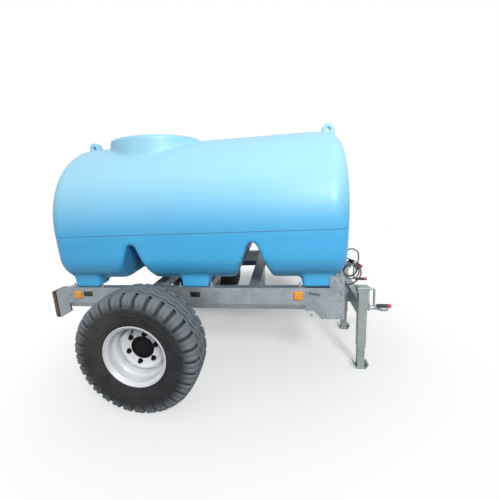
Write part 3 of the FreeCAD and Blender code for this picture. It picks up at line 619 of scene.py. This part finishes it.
def valve():
    rear = TANK_MIDDLE - 1.045 - 0.030
    out = Vector((-1, 0, 0))
    start = Vector((rear, 0, 0.950))
    flange = turned([(0.030, 0), (0.0595, 0), (0.060, 0.002), (0.060, 0.012), (0.058, 0.014), (0.034, 0.014),
                     (0.031, 0.018), (0.030, 0.030), (0.034, 0.033), (0.041, 0.036), (0.042, 0.040),
                     (0.042, 0.064), (0.040, 0.069), (0.034, 0.070), (0.0245, 0.070), (0.024, 0.067),
                     (0.024, 0.036)], start, out, 48)
    bolts = [hexagon(start + Vector((-0.014, 0.047 * math.cos(a), 0.047 * math.sin(a))), out, 0.012, 0.006)
             for a in (math.tau * (i + 0.5) / 6 for i in range(6))]
    lever = soft_block(start + Vector((-0.050, 0.035, 0.047)), (0.018, 0.006, 0.10), 0.002, axis=(0, 1, 0))
    stem = turned([(0.010, 0), (0.010, 0.010), (0.006, 0.013)], start + Vector((-0.050, 0, 0.037)), (0, 0, 1),
                  20)
    build("drain_valve", "valve_metal", flange, *bolts, lever, stem, stands_for=["outlet_valve"])


# ---------------------------------------------------------------- wheels
def wave(angle):
    """A rounded zigzag, one period a pitch."""
    share = (angle * PITCHES / math.tau) % 1.0
    return 1 - 4 * abs(share - 0.5)


def tyre(side, sign):
    half = TYRE_WIDTH / 2
    profile = []

    def run(start, end, count, bend=0.0):
        for i in range(count):
            t = i / count
            y = start[0] + (end[0] - start[0]) * t
            r = start[1] + (end[1] - start[1]) * t
            swell = math.sin(math.pi * t) * bend
            length = math.hypot(end[0] - start[0], end[1] - start[1])
            profile.append((y + swell * (end[1] - start[1]) / length,
                            r - swell * (end[0] - start[0]) / length))

    bead = RIM_WIDTH / 2 - 0.007
    corner = [(bead, BEAD), (bead, 0.2155), (bead + 0.012, 0.2225), (bead + 0.020, 0.2325),
              (half - 0.006, 0.262), (half - 0.0055, 0.287), (half - 0.002, 0.291), (half - 0.0015, 0.299),
              (half - 0.004, 0.303),
              (half - 0.002, 0.327), (half - 0.0005, 0.345), (half - 0.006, 0.372), (half - 0.015, 0.3945),
              (half - 0.027, 0.4085), (half - 0.045, 0.4170)]
    crown = [(y, 0.4170 + 0.0055 * (1 - (y / 0.100) ** 2)) for y in
             np.arange(0.098, -0.0981, -0.0028)]
    right = [(y, r) for y, r in corner]
    for (start, end), count in zip(zip(right, right[1:]), (2, 2, 2, 3, 3, 2, 2, 2, 5, 4, 6, 6, 5, 4)):
        run(start, end, count)
    profile.extend(crown)
    mirror = [(-y, r) for y, r in reversed(right)]
    for (start, end), count in zip(zip(mirror, mirror[1:]), (4, 5, 6, 6, 4, 5, 2, 2, 2, 3, 3, 2, 2, 2)):
        run(start, end, count)
    profile.append(mirror[-1])
    for y in (-0.06, 0.0, 0.06):
        profile.append((y, BEAD))
    flat = np.array(profile)
    count = len(flat)
    ahead, behind = np.roll(flat, -1, axis=0), np.roll(flat, 1, axis=0)
    slope = ahead - behind
    normal = np.stack([slope[:, 1], -slope[:, 0]], axis=1)
    normal /= np.maximum(np.linalg.norm(normal, axis=1, keepdims=True), 1e-9)
    middle = np.array([0.0, 0.31])
    flip = np.sum(normal * (flat - middle), axis=1) < 0
    normal[flip] *= -1
    y, r = flat[:, 0], flat[:, 1]
    tread = np.clip((r - 0.405) / 0.008, 0, 1) * (np.abs(y) < 0.105)
    shift_fade = np.clip((0.090 - np.abs(y)) / 0.030, 0, 1) * tread
    turns = PITCHES * STEPS
    points = np.empty((turns, count, 3))
    for row in range(turns):
        angle = math.tau * row / turns
        step = row % STEPS
        zig = wave(angle) * 0.0072
        cut = np.zeros(count)
        for place in (-0.046, 0.0, 0.046):
            cut = np.maximum(cut, 0.0105 * np.clip((0.0066 - np.abs(y - place)) / 0.0018, 0, 1) * tread)
        for flank, phase in ((1, 0), (-1, STEPS // 2)):
            place = (step + phase) % STEPS
            lug = {0: 0.35, GROOVE_STEPS: 0.35}.get(place, 1.0 if 0 < place < GROOVE_STEPS else 0.0)
            side_of = (y * flank) > 0.062
            edge = np.clip((np.abs(y) - 0.066) / 0.006, 0, 1)
            low = np.clip((r - GROOVE_LOW) / 0.022, 0, 1)
            cut = np.maximum(cut, 0.0130 * lug * edge * low * side_of * (r > 0.3))
            stem = {14: 0.5, 15: 1, 16: 1, 17: 0.5}.get(place, 0)
            zone = np.clip((r - 0.352) / 0.005, 0, 1) * np.clip((0.4165 - r) / 0.003, 0, 1)
            cut = np.maximum(cut, 0.0050 * stem * zone * edge * side_of)
            bar = {11: 0.4, 20: 0.4}.get(place, 1 if 11 < place < 20 else 0)
            zone = np.clip((r - 0.3485) / 0.002, 0, 1) * np.clip((0.3585 - r) / 0.002, 0, 1)
            cut = np.maximum(cut, 0.0040 * bar * zone * side_of)
        yy = y - normal[:, 0] * cut + zig * shift_fade
        rr = r - normal[:, 1] * cut
        points[row, :, 0] = AXLE + rr * math.sin(angle)
        points[row, :, 1] = sign * TRACK / 2 + yy
        points[row, :, 2] = TYRE + rr * math.cos(angle)
    index = np.arange(turns * count).reshape(turns, count)
    along, across = np.roll(index, -1, axis=0), np.roll(index, -1, axis=1)
    both = np.roll(along, -1, axis=1)
    faces = np.stack([index, along, both, across], axis=-1).reshape(-1, 4)
    mesh = bpy.data.meshes.new(f"tyre_tread_{side}")
    mesh.vertices.add(turns * count)
    mesh.vertices.foreach_set("co", points.reshape(-1))
    mesh.loops.add(faces.size)
    mesh.loops.foreach_set("vertex_index", faces.reshape(-1))
    mesh.polygons.add(len(faces))
    mesh.polygons.foreach_set("loop_start", np.arange(0, faces.size, 4))
    mesh.update(calc_edges=True)
    bm = bmesh.new()
    bm.from_mesh(mesh)
    bmesh.ops.recalc_face_normals(bm, faces=bm.faces)
    for face in bm.faces:
        face.smooth = True
    for edge in bm.edges:
        edge.smooth = edge.calc_face_angle(0) < math.radians(38)
    bm.to_mesh(mesh)
    bm.free()
    show(f"treaded_tyre_{side}", mesh, "tyre", body=f"wheel_{side}", stands_for=[f"tyre_{side}"])


def rim(side, sign):
    out = Vector((0, sign, 0))
    centre = Vector((AXLE, sign * TRACK / 2, TYRE))
    edge = RIM_WIDTH / 2
    outside = [
        (0.1955, edge - 0.008), (0.2095, edge - 0.0075), (0.2125, edge - 0.005), (0.2150, edge + 0.001),
        (0.2148, edge + 0.0055), (0.2125, edge + 0.0070), (0.2085, edge + 0.0068), (0.2060, edge + 0.0045),
        (0.2045, edge + 0.0005), (0.2010, edge - 0.004), (0.1935, edge - 0.0075), (0.1890, edge - 0.012),
        (0.1875, edge - 0.022), (0.1868, 0.062), (0.1860, 0.056), (0.1800, 0.046), (0.1700, 0.034),
        (0.1680, 0.028)]
    inside = [(0.1950, 0.060), (0.1880, 0.052), (0.1760, 0.036), (0.1745, 0.028)]
    profile = [*outside, *((r, -d) for r, d in reversed(outside)), *((r, -d) for r, d in inside),
               *reversed(inside)]
    rings = [place_ring(circle(r, 160), centre + out * d, out) for r, d in profile]
    barrel = loft(rings, loop=True)
    dish = [(BORE, -0.010), (BORE - 0.0006, -0.006), (BORE, -0.0012), (BORE + 0.0020, 0.0004),
            (0.118, 0.0004), (0.124, 0.0020), (0.130, 0.0075), (0.137, 0.0115), (0.146, 0.0120), (0.155, 0.0080),
            (0.1600, -0.001), (0.1625, -0.010), (0.1684, -0.012), (0.1684, -0.020), (0.156, -0.0185),
            (0.150, -0.006), (0.142, 0.0015), (0.134, -0.002), (0.126, -0.0085), (0.118, -0.010)]
    rings = [place_ring(circle(r, 160), centre + out * d, out) for r, d in dish]
    disc = loft(rings, loop=True)
    build(f"wheel_rim_{side}", "rim_silver", barrel, disc, sharp=50, body=f"wheel_{side}",
          stands_for=[f"rim_{side}"])
    nuts = []
    for i in range(6):
        angle = math.tau * i / 6 + math.radians(75)
        place = centre + out * 0.0002 + Vector((0.1025 * math.cos(angle), 0, 0.1025 * math.sin(angle)))
        nuts.append(hexagon(place, out, 0.027, 0.016))
    build(f"wheel_nuts_{side}", "hub_black", *nuts, sharp=30, body=f"wheel_{side}")
    angle = math.radians(97)
    foot = centre + out * 0.040 + Vector((0.1690 * math.cos(angle), 0, 0.1690 * math.sin(angle)))
    lean = (out * 0.85 + Vector((-math.cos(angle), 0, -math.sin(angle))) * 0.5).normalized()
    stem = turned([(0.0075, -0.004), (0.0080, 0.002), (0.0065, 0.010), (0.0052, 0.013), (0.0052, 0.030),
                   (0.0060, 0.031), (0.0060, 0.041), (0.0045, 0.043)], foot, lean, 20)
    build(f"valve_stem_{side}", "hub_black", stem, body=f"wheel_{side}", paint=PLASTIC_BLACK)
    drum = turned([(0.100, -0.010), (0.148, -0.010), (0.150, -0.013), (0.150, -0.024), (0.147, -0.027),
                   (0.147, -0.062), (0.150, -0.065), (0.150, -0.078), (0.148, -0.080), (0.060, -0.080)],
                  centre, out, 96)
    cap = turned([(0.0795, -0.016), (0.0795, 0.0005), (0.0780, 0.0035), (0.0750, 0.0040), (0.0725, 0.0020),
                  (0.0700, -0.0040), (0.0560, -0.0055), (0.0530, -0.0035), (0.0500, 0.0015), (0.0440, 0.0030),
                  (0.0200, 0.0036)], centre, out, 96)
    bolts = [hexagon(centre + out * -0.0058 + Vector((0.063 * math.cos(a), 0, 0.063 * math.sin(a))), out,
                     0.009, 0.005, washer=False) for a in (math.tau * i / 6 for i in range(6))]
    build(f"brake_hub_{side}", "hub_black", drum, cap, *bolts, body=f"wheel_{side}",
          stands_for=[f"hub_{side}"])


# ---------------------------------------------------------------- frame, lamps and jacks
SOFT = {
    0.0012: ["side_rail", "nose_plate", "lamp_bracket", "tank_bracket"],
    0.0020: ["jack_tube", "jack_leg", "axle_saddle"],
}


def soften(name, width, parts=2):
    edge = NODES[name].modifiers.new("soft_edges", "BEVEL")
    edge.width, edge.segments, edge.limit_method, edge.angle_limit = width, parts, "ANGLE", math.radians(40)
    edge.use_clamp_overlap = True


def soften_nodes():
    for width, stems in SOFT.items():
        for stem in stems:
            for side in SIDES:
                soften(f"{stem}_{side}", width)
    for name in ("front_crossmember", "hose_holder"):
        soften(name, 0.0012)
    for name in ("rear_crossmember", "crossmember_axle", "crossmember_middle", "crossmember_drawbar",
                 "drawbar_beam", "drawbar_hanger"):
        soften(name, 0.0025)
    for name in ("jack_beam", "axle_beam"):
        soften(name, 0.0045, 3)


def frame_bolts(side, sign):
    parts, out = [], Vector((0, sign, 0))
    face = sign * RAIL
    for x, z in ((0.612, 0.722), (0.640, 0.560), (0.742, 0.560), (0.838, 0.722), (0.838, 0.560)):
        parts.append(hexagon((x, face, z), out, 0.015, 0.008))
    for x in (-1.262, -1.218):
        parts.append(hexagon((x, face, 0.735), out, 0.013, 0.007))
    for number in (-1, 0, 1):
        middle = TANK_MIDDLE + number * FOOT_SPACING
        for end in (-1, 1):
            if number == 1 and end == 1:
                continue
            x = middle + end * 0.117
            place = (x, sign * (RAIL - 0.030), RAIL_TOP)
            parts.append(hexagon(place, (0, 0, 1), 0.018, 0.011))
            parts.append(turned([(0.005, 0.008), (0.005, 0.030), (0.0042, 0.032)], place, (0, 0, 1), 12))
    for x in (0.800, 0.838):
        parts.append(hexagon((x, sign * 0.5753, 0.800), out, 0.014, 0.007))
    build(f"frame_bolts_{side}", "zinc", *parts, sharp=30)


def slot_shade_plates(side, sign):
    """Thin black plates set back in the rail's slots: painted shade for the dark inside of the slots."""
    parts = [soft_block((AXLE + rear + SLOT_LENGTH / 2, sign * (RAIL - 0.0039), SLOT_MIDDLE),
                        (SLOT_LENGTH - 0.0004, SLOT_HEIGHT - 0.0004, 0.0018), 0.0005, axis=(0, sign, 0),
                        corner=0.001)
             for rear in SLOT_REARS]
    build(f"slot_shade_plates_{side}", "hub_black", *parts, paint=PLASTIC_BLACK)


def rear_lamp(side, sign):
    x0 = AXLE - 0.850
    y, z, wide, tall = sign * (RAIL - 0.060), 0.508 + 0.1075, 0.120, 0.215
    back = Vector((1, 0, 0))
    body = soft_block((x0 + 0.0265, y, z), (wide, tall, 0.037), 0.004, axis=back)
    build(f"rear_lamp_body_{side}", "lamp_housing", body, paint=PLASTIC_BLACK,
          stands_for=[f"rear_lamp_{side}"])
    red, other = [], []
    for low, high, into in ((0.512, 0.600, red), (0.603, 0.660, other), (0.663, 0.719, red)):
        into.append(soft_block((x0 + 0.0065, y, (low + high) / 2), (wide - 0.010, high - low, 0.013), 0.004,
                               axis=back))
        ribs = int((high - low) / 0.009)
        for i in range(ribs):
            height = low + (i + 0.5) * (high - low) / ribs
            into.append(soft_block((x0 - 0.0002, y, height), (wide - 0.022, 0.0026, 0.0016), 0.0005,
                                   axis=back))
    red.append(soft_block((x0 + 0.027, sign * (RAIL + 0.0006), z + 0.002), (0.018, 0.180, 0.004), 0.0015,
                          axis=(0, 1, 0)))
    build(f"lamp_lens_{side}", "lamp_housing", *red)
    build(f"lamp_flasher_{side}", "marker_amber", *other)


def side_markers(side, sign):
    out = Vector((0, sign, 0))
    lens, frames = [], []
    for place in (-0.645, 1.013):
        centre = Vector((AXLE + place + 0.031, sign * RAIL, 0.668 + 0.031))
        rings = []
        for half, radius, d in ((0.031, 0.010, 0.0), (0.031, 0.010, 0.0040), (0.0300, 0.010, 0.0050),
                                (0.0285, 0.010, 0.0050), (0.0285, 0.010, 0.0), ):
            rings.append(place_ring(rounded_corners(half, half, radius, 6), centre + out * d, out))
        frames.append(loft(rings, closed_ends=False, loop=True))
        rings = []
        for half, radius, d in ((0.0282, 0.010, 0.0), (0.0282, 0.010, 0.0085), (0.0272, 0.0095, 0.0105),
                                (0.0250, 0.009, 0.0118), (0.015, 0.006, 0.0120)):
            rings.append(place_ring(rounded_corners(half, half, radius, 6), centre + out * d, out))
        lens.append(loft(rings))
    build(f"marker_lens_{side}", "marker_amber", *lens, stands_for=[f"side_markers_{side}"])
    build(f"marker_frame_{side}", "marker_amber", *frames)


def jack(side, sign):
    x, y = JACK, sign * JACK_HALF
    up = Vector((0, 0, 1))
    parts = [soft_block((x, y, JACK_TOP + 0.007), (0.084, 0.070, 0.014), 0.003),
             soft_block((x, y, JACK_TOP + 0.0265), (0.092, 0.076, 0.023), 0.005),
             soft_block((x, y, JACK_TOP + 0.0400), (0.070, 0.056, 0.005), 0.002)]
    for a in (-1, 1):
        for b in (-1, 1):
            parts.append(hexagon((x + a * 0.037, y + b * 0.029, JACK_TOP + 0.037), up, 0.009, 0.004,
                                 washer=False))
    parts.append(turned([(0.016, 0), (0.016, 0.005), (0.013, 0.008)], (x + 0.045, y, JACK_TOP + 0.021),
                        (1, 0, 0), 32))
    build(f"jack_gear_head_{side}", "zinc", *parts, stands_for=[f"jack_head_{side}"])
    height = JACK_TOP + 0.021
    bar = tube([(x + 0.040, y, height), (x + 0.060, y, height), (x + 0.074, y, height - 0.002),
                (x + 0.083, y, height - 0.011), (x + 0.085, y, height - 0.026), (x + 0.085, y, height - 0.108),
                (x + 0.087, y, height - 0.125), (x + 0.096, y, height - 0.134),
                (x + 0.112, y, height - 0.136), (x + 0.150, y, height - 0.136)], 0.0078, 16, 6)
    build(f"jack_crank_bar_{side}", "zinc", bar, stands_for=[f"jack_crank_{side}"])
    start = Vector((x + 0.101, y, height - 0.136))
    grip = [(0.0084, 0.0), (0.0112, 0.001), (0.0125, 0.004)]
    for i in range(6):
        d = 0.010 + i * 0.0105
        grip.extend([(0.0120 + i * 0.0002, d), (0.0128 + i * 0.0002, d + 0.002),
                     (0.0128 + i * 0.0002, d + 0.007), (0.0120 + i * 0.0002, d + 0.009)])
    grip.append((0.0134, 0.0780))
    build(f"crank_grip_{side}", "hub_black", turned(grip, start, (1, 0, 0), 40), paint=PLASTIC_BLACK)
    end = turned([(0.0134, 0.0780), (0.0140, 0.0795), (0.0140, 0.1000), (0.0130, 0.1035), (0.0095, 0.1050)],
                 start, (1, 0, 0), 40)
    build(f"grip_end_{side}", "cap_red", end)


def coupling():
    start = JACK + 0.030
    low, high = 0.360 - 1.6 * 0.018, 0.440 + 0.8 * 0.120
    middle = (low + high) / 2
    ahead = Vector((1, 0, 0))
    parts = [soft_block((start + 0.006, 0, middle), (0.100, high - low, 0.012), 0.003, axis=ahead,
                        corner=0.010),
             soft_block((start + 0.055, 0, middle - 0.004), (0.078, (high - low) - 0.036, 0.102), 0.009,
                        axis=ahead, corner=0.016),
             soft_block((start + 0.103, 0, 0.385), (0.088, 0.084, 0.014), 0.004, axis=ahead, corner=0.016)]
    for a in (-1, 1):
        for height in (low + 0.020, high - 0.020):
            parts.append(hexagon((start + 0.012, a * 0.040, height), ahead, 0.014, 0.008))
    for height in (0.420, 0.470):
        parts.append(hexagon((start + 0.05, -0.039, height), (0, -1, 0), 0.016, 0.008))
        parts.append(hexagon((start + 0.05, 0.039, height), (0, 1, 0), 0.016, 0.008))
    build("coupling_casting", "galvanised_cast", *parts, stands_for=["coupling_housing"])
    face = start + 0.110
    length = (AXLE + 1.778 - 1.2 * 0.052) - face
    shaft = turned([(0.026, -0.002), (0.027, 0.0), (0.027, 0.006), (0.022, 0.009), (0.018, 0.010),
                    (0.018, length - 0.006), (0.021, length - 0.004), (0.021, length)],
                   (face, 0, 0.360), ahead, 48)
    build("coupling_rod", "galvanised_cast", shaft, stands_for=["coupling_shaft"])
    centre = Vector((AXLE + 1.778, 0, 0.360))
    profile = [(0.0250, -0.006), (0.0258, -0.011), (0.0290, -0.0142), (0.0335, -0.0150), (0.0440, -0.0150),
               (0.0490, -0.0128), (0.0514, -0.0080), (0.0520, 0.0), (0.0514, 0.0080), (0.0490, 0.0128),
               (0.0440, 0.0150), (0.0335, 0.0150), (0.0290, 0.0142), (0.0258, 0.011), (0.0250, 0.006)]
    rings = [place_ring(circle(r, 72), centre + Vector((0, 0, d)), (0, 0, 1)) for r, d in profile]
    ring = loft(rings, loop=True)
    stem = soft_block((AXLE + 1.778 - 0.0535, 0, 0.360), (0.036, 0.030, 0.0220), 0.003, axis=ahead,
                      corner=0.008)
    build("towing_ring", "galvanised_cast", ring, stem, stands_for=["towing_eye"])


# ---------------------------------------------------------------- brake hose
TAIL = [(1438.5, -263, 861.2), (1424, -263, 870.7), (1412, -263, 889), (1410, -264, 911), (1419, -267, 932),
        (1436, -271, 945), (1458, -276, 948), (1479, -282, 941), (1494, -286, 925), (1500, -289, 899),
        (1497, -287, 850)]
RUN = [(1504, -306, 728), (1478, -288, 690), (1442, -240, 652), (1420, -160, 632), (1419, -80, 642),
       (1420, -30, 606), (1420, -30, 551)]
HOSE_LENGTH, HOSE_RADIUS = 1.72, 0.005
# The coil: how many turns have been made and the radius there, then the side that all turns share and where
# they start and step along the peg. The hose bears on the peg at PEG, a little above its top.
LOOPS = ((0.0, 1.0, 2.0, 2.7, 3.07), (0.062, 0.056, 0.047, 0.045, 0.052))
COIL_POINTS, TURN_POINTS, COIL_START = 44, 14, math.radians(-12)
COIL_SIDE, COIL_Y, COIL_STEP, PEG = AXLE + 1.392, -0.3130, 0.0103, (AXLE + 1.438, 0.8368)
GLAND = (AXLE + 1.420, -0.030, 0.533)


def coupler():
    tilt = math.radians(33)
    way = Vector((math.cos(tilt), 0, -math.sin(tilt)))
    middle = Vector((AXLE + 1.474, -0.263, 0.838))
    back = middle - way * 0.042
    body = turned([(0.0085, 0), (0.0095, 0.001), (0.0095, 0.012), (0.0118, 0.014), (0.0130, 0.016),
                   (0.0130, 0.052), (0.0122, 0.054), (0.0122, 0.060), (0.0130, 0.062), (0.0130, 0.080),
                   (0.0120, 0.084)],
                  back, way, 40)
    flats = [place_ring(circle(0.0132, 6), back + way * d, way) for d in (0.017, 0.028)]
    plug = build("brake_plug", "hub_black", body, loft(flats), stands_for=["hose_coupler"])
    rings = []
    for radius, d, rib in ((0.0125, 0.0842, 0), (0.0142, 0.0848, 1), (0.0145, 0.088, 1), (0.0145, 0.103, 1),
                           (0.0136, 0.1065, 0), (0.009, 0.108, 0)):
        flat = []
        for i in range(96):
            angle = math.tau * i / 96
            r = radius - 0.0009 * rib * (0.5 + 0.5 * math.cos(24 * angle))
            flat.append((r * math.cos(angle), r * math.sin(angle)))
        rings.append(place_ring(flat, back + way * d, way))
    cap = build("brake_plug_cap", "cap_red", loft(rings), stands_for=["coupler_cap"])
    return plug, cap


def hose(pieces):
    line = [(x / 1000 + AXLE, y / 1000, z / 1000) for x, y, z in reversed(RUN)]
    for i in range(COIL_POINTS):
        turn = i / TURN_POINTS
        size = float(np.interp(turn, *LOOPS))
        angle = math.tau * turn + COIL_START
        middle = COIL_SIDE + size
        hang = math.sqrt(size ** 2 - (middle - PEG[0]) ** 2)
        line.append((middle + size * math.cos(angle), COIL_Y + COIL_STEP * turn,
                     PEG[1] - hang + size * math.sin(angle)))
    line.extend((x / 1000 + AXLE, y / 1000, z / 1000) for x, y, z in reversed(TAIL))
    data = bpy.data.curves.new("brake_hose", "CURVE")
    data.dimensions = "3D"
    spline = data.splines.new("NURBS")
    spline.points.add(len(line) - 1)
    for point, place in zip(spline.points, line):
        point.co = (*place, 1)
    spline.order_u = 3
    spline.use_endpoint_u = True
    spline.resolution_u = 8
    data.bevel_depth, data.bevel_resolution, data.use_fill_caps = HOSE_RADIUS, 5, True
    thing = bpy.data.objects.new("brake_hose", data)
    bpy.context.scene.collection.objects.link(thing)
    data.materials.append(PAINTS["hose_rubber"])
    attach(thing, "root")
    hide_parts("hose_tail", "hose_run", "hose_coil")
    gland = turned([(0.0115, 0), (0.0120, 0.001), (0.0120, 0.006), (0.0100, 0.007), (0.0100, 0.0085),
                    (0.0118, 0.0095), (0.0110, 0.016), (0.0080, 0.018)], GLAND, (0, 0, 1), 32)
    ring = loft([place_ring(circle(0.0138 * k, 6), (*GLAND[:2], GLAND[2] + d), (0, 0, 1))
                 for k, d in ((0.96, 0.0008), (1, 0.0014), (1, 0.0060), (0.95, 0.0068))])
    build("hose_gland_nut", "galvanised", gland, ring, stands_for=["hose_gland"])


make_camera()
make_stage()
make_light()
paint_nodes()
tank_shell()
for end, sign in (("front", 1), ("rear", -1)):
    lifting_eye(f"lifting_eye_{end}", TANK_MIDDLE + sign * EYE_PLACE)
lid()
valve()
soften_nodes()
for side, sign in SIDES.items():
    tyre(side, sign)
    rim(side, sign)
    frame_bolts(side, sign)
    slot_shade_plates(side, sign)
    rear_lamp(side, sign)
    side_markers(side, sign)
    jack(side, sign)
coupling()
hose(coupler())
